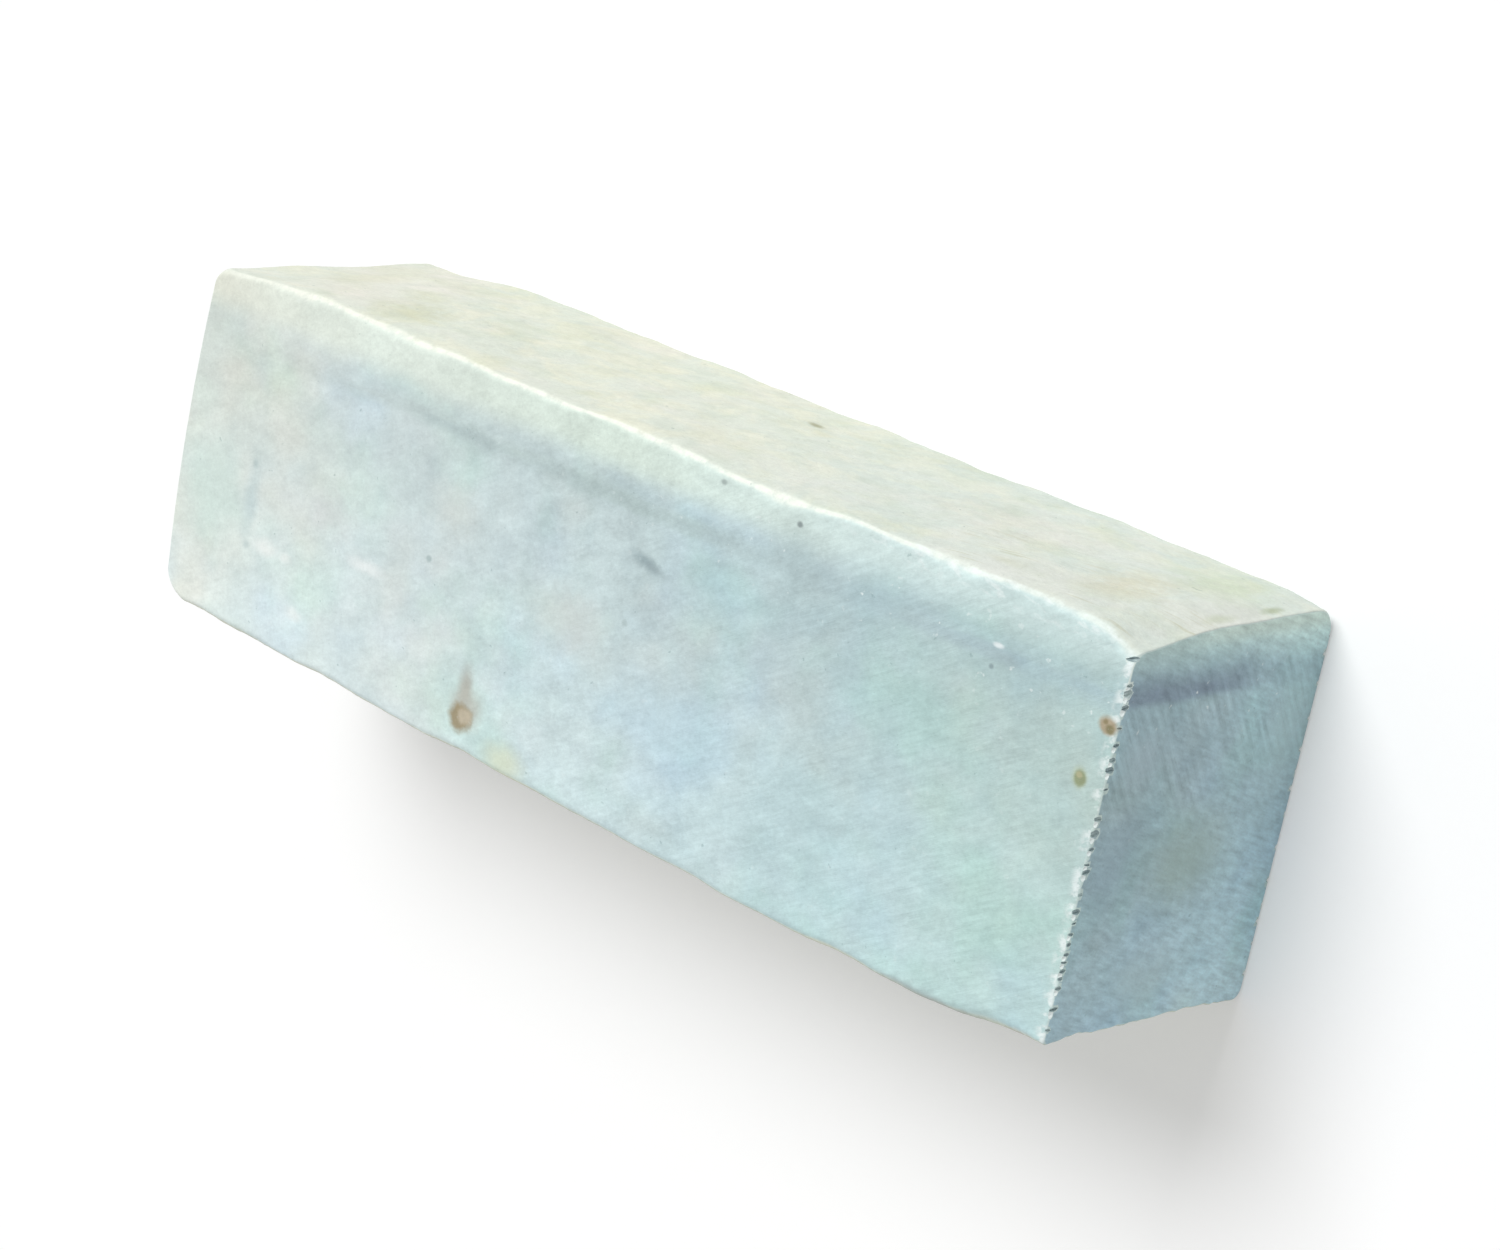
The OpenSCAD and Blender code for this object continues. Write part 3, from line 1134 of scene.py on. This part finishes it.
        # The section: out to the rim, where the long arrises are rounded
        rim = b.most(abs(y) / half_w, abs(z) / half_h)
        out = 1 / b.most(rim, LEAST_RIM)
        y, z = y * out, z * out
        r = self._arris_radius(b, size, x, y, z, half_l)
        core_y, core_z = self._held(b, y, half_w - r), self._held(b, z, half_h - r)
        y, z = y - core_y, z - core_z
        far_off = b.maths("SQRT", y * y + z * z)
        out_y, out_z = y / far_off, z / far_off
        x, shrink, end_part, rim_part = self._end_arris(b, size["Crisp radius"], x, rim, half_l)
        y = (core_y + out_y * r) * shrink
        z = (core_z + out_z * r) * shrink + half_h
        # The uneven natural sides, and the bulge of the left end
        y = y * (1 - self._side_drop(b, size, x, y, z, half_l) / half_w)
        bent = b.ramp(x, self.bend_reach - half_l, -half_l) * size["End bulge"]
        x = x + bent * (y / half_w) * (y / half_w)
        facing = b.join(end_part, out_y * rim_part, out_z * rim_part)
        return self._block_marks(b, box, b.join(x, y, z), facing)

    def _end_arris(self, b: Bench, r: Value, x: Value, rim: Value,
                   half_l: Value) -> tuple[Value, Value, Value, Value]:
        """Rounds the arris round each end.

        Args:
            b: the bench.
            r: the arris's radius.
            x: the place along the stick.
            rim: the place out from the middle of the section, from 0 to 1 at its rim.
            half_l: half the length.

        Returns:
            The new place along the stick, what the section shrinks by, and how far the
            surface faces along the stick and outwards.
        """
        past = b.most(abs(x) - half_l + r, 0)
        inset = (rim - 1) * self.inset_unit
        over = b.most(inset + r, 0)
        far_off = b.most(b.maths("SQRT", past * past + over * over), LEAST_OFF)
        in_corner = (past > 0) * (over > 0)
        pull = 1 + in_corner * (r / far_off - 1)
        side = b.maths("SIGN", x)
        along = side * (b.least(abs(x), half_l - r) + past * pull)
        shrink = 1 + (inset + over * (pull - 1)) / self.inset_unit
        on_cap = (past > 0) * (1 - in_corner)
        end_part = side * (in_corner * b.least(past / far_off, 1) + on_cap)
        rim_part = in_corner * over / far_off + (1 - in_corner) * (1 - on_cap)
        return along, shrink, end_part, rim_part

    @staticmethod
    def _block_marks(b: Bench, box: Value, place: Value, facing: Value) -> Value:
        """Stores which way the rule faces on the block, and that nothing is cut there yet.

        Args:
            b: the bench.
            box: the block's geometry before it is shaped.
            place: where each of its corners goes.
            facing: which way the surface faces there.

        Returns:
            The shaped block, with its two attributes.
        """
        known = b.store(box, "facing", facing, "FLOAT_VECTOR", "POINT")
        placed = b.value("GeometryNodeSetPosition", None, {"Geometry": known, "Position": place})
        return b.store(placed, "cut", 0.0, "FLOAT", "FACE")

    @staticmethod
    def _graded(b: Bench, share: Value, k: float) -> Value:
        """Crowds the cells towards both ends of an axis."""
        return share * (1 - k) + b.maths("SINE", share * (math.pi / 2)) * k

    @staticmethod
    def _held(b: Bench, value: Value, limit: Value) -> Value:
        """Keeps a value between plus and minus a limit."""
        return b.most(b.least(value, limit), -limit)

    def _arris_radius(self, b: Bench, size: dict[str, Value], x: Value, y: Value, z: Value,
                      half_l: Value) -> Value:
        """Gives the radius of the nearest long arris: its wear, and the knocks out of it.

        Args:
            b: the bench.
            size: the tree's inputs.
            x: the place along the stick.
            y: the place across it.
            z: the place up from half the height.
            half_l: half the length.

        Returns:
            The radius, in millimetres.
        """
        far, top = y > 0, z > 0
        count = 3 * (1 - top) + (1 - far) * top
        long, short = (b.sine(x / pitch + count * shift) for pitch, shift in self.worn_waves)
        r = size["Worn radius"] + (long + short) * (self.worn_swing / 2)
        for wear in self.wears():
            sy, sz = wear.corner.value
            here = (far if sy > 0 else 1 - far) * (top if sz > 0 else 1 - top)
            knock = b.bell(x + half_l, wear.along * self.length, wear.reach)
            r = r + here * knock * (wear.share * self.chip_depth)
        spot = b.join(x, y * 0.2, z * 0.2)
        r = r + (b.noise(spot, 0.9, 3, 0.6) - 0.5) * (far * 0.3 + 0.12)
        return b.most(r, self.least_r)

    def _side_drop(self, b: Bench, size: dict[str, Value], x: Value, y: Value, z: Value,
                   half_l: Value) -> Value:
        """Gives how far a natural side lies inside the stick's box.

        Args:
            b: the bench.
            size: the tree's inputs.
            x: the place along the stick.
            y: the place across it.
            z: the place up from the rest side.
            half_l: half the length.

        Returns:
            The depth, in millimetres.
        """
        far = y > 0
        near = 1 - far
        side = far * 2 - 1
        mid = z * 2 / size["Height"] - 1
        share = (x + half_l) / size["Length"]
        bow = b.maths("POWER", abs(share / self.bow_peak - 1), self.bow_power)
        drop = size["Crown rise"] * mid * mid + near * size["Near bow"] * bow
        pitch = self.ripple_pitch
        waves = (2 + b.sine((x + z * 0.6) / pitch + side * (70 / 360))
                 + b.sine((x * 0.7 - z + side * 4) / (UNLIKE_PITCH * pitch)))
        drop = drop + waves * (self.ripple_height / 4)
        for hollow in self.hollows():
            here = far if hollow.side > 0 else near
            sunk = (b.bell(x + half_l, hollow.along * self.length, hollow.reach[0])
                    * b.bell(z, hollow.up * self.height, hollow.reach[1]))
            drop = drop + here * sunk * hollow.depth
        corner = near * size["Corner radius"] + far * self.far_corner_r
        into = b.most(corner - b.most(x + half_l, 0), 0)
        drop = drop + corner - b.maths("SQRT", b.most(corner * corner - into * into, 0))
        spot = b.join(x, side * 40, z)
        inner = b.least(b.ramp(z, 0, 3), b.ramp(z, self.height, self.height - 3))
        rough = (b.noise(spot, 0.45, 5, 0.6) - 0.35) * self.rough_height
        rough = rough + near * inner * b.noise(spot, 0.9, 4, 0.6) * self.near_rough_height
        return drop + b.most(rough, 0)

    @staticmethod
    def _cutters(b: Bench, points: Value) -> list[Value]:
        """Makes the cutters: a rough pebble on every point.

        Args:
            b: the bench.
            points: the points, with the size, turn and kind of each cutter.

        Returns:
            One set of pebbles for each kind of cut, each pebble a body of its own.
        """
        reach, turn = b.stored("reach", "FLOAT_VECTOR"), b.stored("turn", "FLOAT_VECTOR")
        kind = b.stored("kind", "FLOAT")
        ball = b.value("GeometryNodeMeshIcoSphere", None, {"Radius": 1.0, "Subdivisions": 3},
                       "Mesh")
        place = b.value("GeometryNodeInputPosition")
        px, py, pz = b.split(place)
        slim = b.ramp(px, -1.0, 0.6, 0.3, 1.0)
        pointed = slim * b.maths("SQRT", (1 - abs(px)) / (1 + abs(px)))
        wander = (b.noise(place, 1.3, 2, 0.5, colour=True) - 0.5) * 0.5
        turned = b.value("FunctionNodeEulerToRotation", None, {0: turn})
        sets = []
        for cut in Cut:
            thin = pointed if cut is Cut.NICK else slim
            pebble = b.value("GeometryNodeSetPosition", None,
                             {"Geometry": ball, "Position": b.join(px, py * thin, pz * thin),
                              "Offset": wander})
            marked = b.store(pebble, "cut", float(cut.value), "FLOAT", "FACE")
            marked = b.store(marked, "facing", (0.0, 0.0, 0.0), "FLOAT_VECTOR", "POINT")
            wanted = abs(kind - cut.value) < KIND_GAP
            sets.append(b.value("GeometryNodeInstanceOnPoints", None,
                                {"Points": points, "Instance": marked, "Selection": wanted,
                                 "Rotation": turned, "Scale": reach}))
        return sets


STAIN_BLOTS = (
    # The long stain and its bulb, by the near arris of the large sawn face
    Blot((-7.8, -6.3, TOP), (0.8, 1.7, 1), (0.43, 0.42, 0.37), 0.8),
    Blot((-7.5, -7.4, TOP), (1.7, 1.7, 1), (0.50, 0.49, 0.43), 0.75, core=0.2),
    Blot((-7.75, -8.1, TOP), (1.15, 1, 1), (0.34, 0.28, 0.17), 0.95, core=0.5, ragged=0.8),
    Blot((-7.45, -7.95, TOP), (0.7, 0.6, 1), (0.56, 0.50, 0.38), 0.85, core=0.4),
    Blot((-4.2, -9.3, TOP), (2.3, 1.5, 1.5), (0.70, 0.74, 0.55), 0.7),
    # The dark smudge and the small dots
    Blot((2.95, 4.15, TOP), (1.6, 0.6, 1), (0.30, 0.39, 0.41), 0.9, (0, 0, -12), core=0.15),
    Blot((3.4, 4, TOP), (1, 0.34, 1), (0.33, 0.41, 0.43), 0.6, (0, 0, -10)),
    Blot((-12.1, -0.6, TOP), (0.3, 0.26, 1), (0.36, 0.46, 0.46), 0.7, core=0.3, ragged=0.15),
    Blot((2.2, 0.7, TOP), (0.3, 0.26, 1), (0.42, 0.52, 0.52), 0.6, core=0.3, ragged=0.15),
    Blot((6.8, 9.7, TOP), (0.3, 0.2, 1), (0.35, 0.42, 0.40), 0.8, core=0.3, ragged=0.15),
    Blot((24.85, 6.4, TOP), (0.2, 0.18, 1), (0.25, 0.33, 0.35), 0.8, core=0.3, ragged=0.1),
    Blot((12, 9.2, TOP), (0.28, 0.22, 1), (0.24, 0.29, 0.29), 0.9, core=0.3, ragged=0.15),
    # The faint line and flecks near the left end
    Blot((-26.3, -1.8, TOP), (0.9, 3.2, 1), (0.50, 0.63, 0.64), 0.5),
    Blot((-26.4, 0.2, TOP), (0.35, 0.4, 1), (0.42, 0.52, 0.52), 0.6, ragged=0.2),
    Blot((-26.1, -4.4, TOP), (0.4, 0.35, 1), (0.42, 0.52, 0.52), 0.5, ragged=0.2),
    Blot((-24.6, -4.1, TOP), (1.6, 0.8, 1), (0.88, 0.92, 0.89), 0.8),
    Blot((-22.9, -4.2, TOP), (0.7, 0.5, 1), (0.86, 0.91, 0.88), 0.7),
    Blot((-16.6, -2.6, TOP), (2.2, 0.6, 1), (0.86, 0.91, 0.90), 0.75),
    Blot((-21.5, -7, TOP), (1, 0.6, 1), (0.86, 0.92, 0.90), 0.7),
    Blot((-29.6, -2.2, TOP), (3.6, 4.2, 2), (0.64, 0.78, 0.72), 0.55, core=0.3),
    # Tinted patches
    Blot((-1.8, -0.4, TOP), (4.6, 2.6, 2), (0.68, 0.71, 0.67), 0.5, ragged=1.5),
    Blot((-10.8, 2.6, TOP), (2.8, 2.2, 2), (0.70, 0.73, 0.68), 0.45, ragged=1.5),
    Blot((-19.8, -0.4, TOP), (2.6, 2, 2), (0.68, 0.70, 0.70), 0.5, ragged=1.5),
    Blot((6.2, -3.4, TOP), (4.6, 2.4, 2), (0.51, 0.67, 0.71), 0.4, ragged=1.5),
    # Rusty spots by the torn arris
    Blot((31.9, 6, TOP), (0.66, 0.6, 1.2), (0.42, 0.33, 0.21), 0.9, core=0.5, ragged=0.4),
    Blot((32.05, 5.85, TOP), (0.34, 0.34, 1.2), (0.22, 0.20, 0.10), 0.85, core=0.4, ragged=0.25),
    Blot((31.75, 6.15, TOP), (0.2, 0.2, 1.2), (0.25, 0.21, 0.11), 0.8, core=0.3, ragged=0.2),
    Blot((31.05, 3.15, TOP), (0.62, 0.72, 1.2), (0.46, 0.53, 0.36), 0.7, core=0.3, ragged=0.3),
    Blot((31.08, 3.12, TOP), (0.44, 0.5, 1.2), (0.27, 0.31, 0.17), 0.85, core=0.5, ragged=0.25),
    Blot((31, 3.25, TOP), (0.24, 0.22, 1.2), (0.46, 0.45, 0.28), 0.85, core=0.4, ragged=0.1),
    Blot((25, 7.5, TOP), (0.45, 0.2, 1), (0.86, 0.92, 0.93), 0.8, core=0.3, ragged=0.1),
    # Ochre patches of the far natural side
    Blot((-20.4, FAR_Y, 12.8), (3.6, 1.2, 4), (0.62, 0.63, 0.45), 0.7, ragged=1.8),
    Blot((-22.5, FAR_Y, 9.6), (2.6, 1.2, 2.2), (0.64, 0.66, 0.48), 0.5, ragged=1.6),
    Blot((-27.5, FAR_Y, 9.5), (2.6, 1.2, 5), (0.70, 0.70, 0.54), 0.5, ragged=1.6),
    Blot((2.2, FAR_Y, 4.7), (0.8, 1.2, 0.55), (0.38, 0.38, 0.24), 0.9, (0, -25, 0), core=0.3,
         ragged=0.4),
    Blot((3.4, FAR_Y, 5.8), (1.6, 1.2, 0.8), (0.66, 0.67, 0.50), 0.6, (0, -35, 0)),
    Blot((27.5, FAR_Y, 10.5), (3, 1.2, 5), (0.60, 0.57, 0.41), 0.6, ragged=1.8),
    Blot((28.5, FAR_Y, 4.5), (4, 1.2, 5), (0.58, 0.67, 0.50), 0.65, ragged=1.8),
    Blot((22.6, FAR_Y, 14.4), (1.6, 1.2, 0.8), (0.56, 0.58, 0.44), 0.6, ragged=0.6),
    Blot((18, FAR_Y, 8.3), (7, 1.2, 6), (0.76, 0.73, 0.66), 0.4, ragged=1.8),
    Blot((31.9, 10.7, 5), (0.45, 0.5, 1.5), (0.38, 0.44, 0.28), 0.8, core=0.2, ragged=0.4),
    Blot((31.9, 10.6, 9.5), (0.5, 0.5, 2), (0.50, 0.56, 0.38), 0.5, ragged=0.4),
    # The right end
    Blot((END_X, -1.6, 8.6), (2, 3.6, 5.2), (0.38, 0.50, 0.44), 0.6, ragged=1.5),
    Blot((END_X, -1.2, 14.6), (2, 4.5, 2.6), (0.33, 0.46, 0.53), 0.5, ragged=1.5),
    Blot((END_X, 4.3, 1.8), (2, 4.2, 3.2), (0.47, 0.64, 0.67), 0.6, ragged=1.5),
    Blot((END_X, 4.3, 14.2), (2, 2.4, 2.6), (0.46, 0.60, 0.66), 0.6, ragged=1.5),
    Blot((END_X, -7.6, 10), (2, 2.4, 3.6), (0.47, 0.62, 0.64), 0.5, ragged=1.5),
    # Grey dirt and painted shade along the torn part of the near arris, and a greyish patch at its
    # end
    Blot((26.5, -10.5, TOP - 0.2), (6.5, 0.5, 0.8), (0.36, 0.42, 0.42), 0.65),
    Blot((31.2, -10, TOP - 0.1), (1.4, 0.5, 0.7), (0.62, 0.60, 0.54), 0.6, core=0.2),
)


@dataclass(frozen=True)
class Studio:
    """A plain pale floor, soft light, and the camera that looks down at the stick.

    Attributes:
        eye: where the camera is, in millimetres.
        aim: the point that it looks at, in millimetres.
        up: its own upward direction.
        lens: its focal length, in millimetres.
        frame_width: width of its frame, in millimetres.
        nearest: the nearest distance at which it sees, in metres.
        key: the direction to the soft main light.
        key_strength: the sun lamp's strength.
        key_spread: how wide that light is, in degrees.
        sky: the strength of the even light from all round.
        floor_tone: how much light the floor gives back.
        floor_half: half the floor's size, in metres.
        floor_drop: how far the floor lies under the stick, in millimetres.
        white_margin: how far past plain white the empty floor looks.
    """

    eye: Triple = (121.0, 54.3, 156.55)
    aim: Triple = (2.2, -0.3, 6.7)
    up: Triple = (-0.3239, 0.9426, -0.0814)
    lens: float = 90.0
    frame_width: float = 36.0
    nearest: float = 0.01
    key: Triple = (-0.2, 0.6, 0.77)
    key_strength: float = 1.97
    key_spread: float = 32.0
    sky: float = 0.486
    floor_tone: float = 0.85
    floor_half: float = 2.0
    floor_drop: float = 0.02
    white_margin: float = 0.01

    def set_up(self) -> None:
        """Makes the camera, the lights, the world and the floor."""
        self._camera()
        self._lamp()
        self._world()
        self._floor()
        view = bpy.context.scene.view_settings
        view.view_transform = "Standard"
        LOG.info("studio: camera, lamp, world and floor")

    def _camera(self) -> None:
        """Sets the camera."""
        back = (Vector(self.eye) - Vector(self.aim)).normalized()
        right = Vector(self.up).cross(back).normalized()
        up = back.cross(right)
        place = Vector(self.eye) * MM
        data = bpy.data.cameras.new("camera")
        data.sensor_width = self.frame_width
        data.sensor_fit = "HORIZONTAL"
        data.lens = self.lens
        data.clip_start = self.nearest
        camera = bpy.data.objects.new("camera", data)
        axes = Matrix((right, up, back)).transposed()
        camera.matrix_world = Matrix.Translation(place) @ axes.to_4x4()
        bpy.context.scene.collection.objects.link(camera)
        bpy.context.scene.camera = camera

    def _lamp(self) -> None:
        """Sets the one soft main light."""
        data = bpy.data.lights.new("key", "SUN")
        data.energy = self.key_strength
        data.angle = math.radians(self.key_spread)
        lamp = bpy.data.objects.new("key", data)
        lamp.rotation_euler = Vector(self.key).to_track_quat("Z", "Y").to_euler()
        bpy.context.scene.collection.objects.link(lamp)

    def _world(self) -> None:
        """Sets the even light, with plain white to look at behind the floor."""
        world = bpy.data.worlds.new("room")
        world.use_nodes = True
        bpy.context.scene.world = world
        b = Bench(world.node_tree)
        light = b.node("ShaderNodeBackground", None,
                       {"Color": (1.0, 1.0, 1.0), "Strength": self.sky})
        seen = b.node("ShaderNodeBackground", None, {"Color": (1.0, 1.0, 1.0), "Strength": 1.0})
        both = b.node("ShaderNodeMixShader", None,
                      {0: self._looked_at(b), 1: light.outputs[0], 2: seen.outputs[0]})
        b.node("ShaderNodeOutputWorld", None, {"Surface": both.outputs[0]})

    @staticmethod
    def _looked_at(b: Bench) -> Value:
        """Gives 1 for what is looked at, straight or by reflection.

        Args:
            b: the bench.

        Returns:
            The share, 1 or 0.
        """
        path = b.node("ShaderNodeLightPath")
        straight, glossy, through = (
            Value(b, path.outputs[name])
            for name in ("Is Camera Ray", "Is Glossy Ray", "Is Transmission Ray"))
        return b.most(straight, b.most(glossy, through))

    def _floor(self) -> None:
        """Lays the floor, which looks white but keeps the stick's shadow."""
        mesh = bpy.data.meshes.new("floor")
        signs = ((-1, -1), (1, -1), (1, 1), (-1, 1))
        mesh.from_pydata([(sx * self.floor_half, sy * self.floor_half, -self.floor_drop * MM)
                          for sx, sy in signs], [], [(0, 1, 2, 3)])
        floor = bpy.data.objects.new("floor", mesh)
        bpy.context.scene.collection.objects.link(floor)
        material = bpy.data.materials.new("floor_paper")
        material.use_nodes = True
        b = Bench(material.node_tree)
        tone = self.floor_tone
        plain = b.node("ShaderNodeBsdfDiffuse", None, {"Color": (tone, tone, tone)})
        # What the floor lacks to look white where nothing shades it
        lit = self.sky + self.key_strength / math.pi * Vector(self.key).normalized().z
        lack = 1.0 - tone * lit + self.white_margin
        lift = b.node("ShaderNodeEmission", None,
                      {"Color": (1.0, 1.0, 1.0), "Strength": self._looked_at(b) * lack})
        both = b.node("ShaderNodeAddShader", None, {0: plain.outputs[0], 1: lift.outputs[0]})
        b.node("ShaderNodeOutputMaterial", None, {"Surface": both.outputs[0]})
        mesh.materials.append(material)


def main() -> None:
    """Builds the studio and the stick."""
    logging.basicConfig(level=logging.INFO, format="%(name)s: %(message)s")
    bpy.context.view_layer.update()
    Studio().set_up()
    stick = StoneStick()
    finish = StoneFinish(half_l=stick.length / 2, top=stick.height, blots=STAIN_BLOTS)
    stone = stick.build(finish.dress())
    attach(stone, "root")
    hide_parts("slate_pencil")


if __name__ == "__main__":
    main()
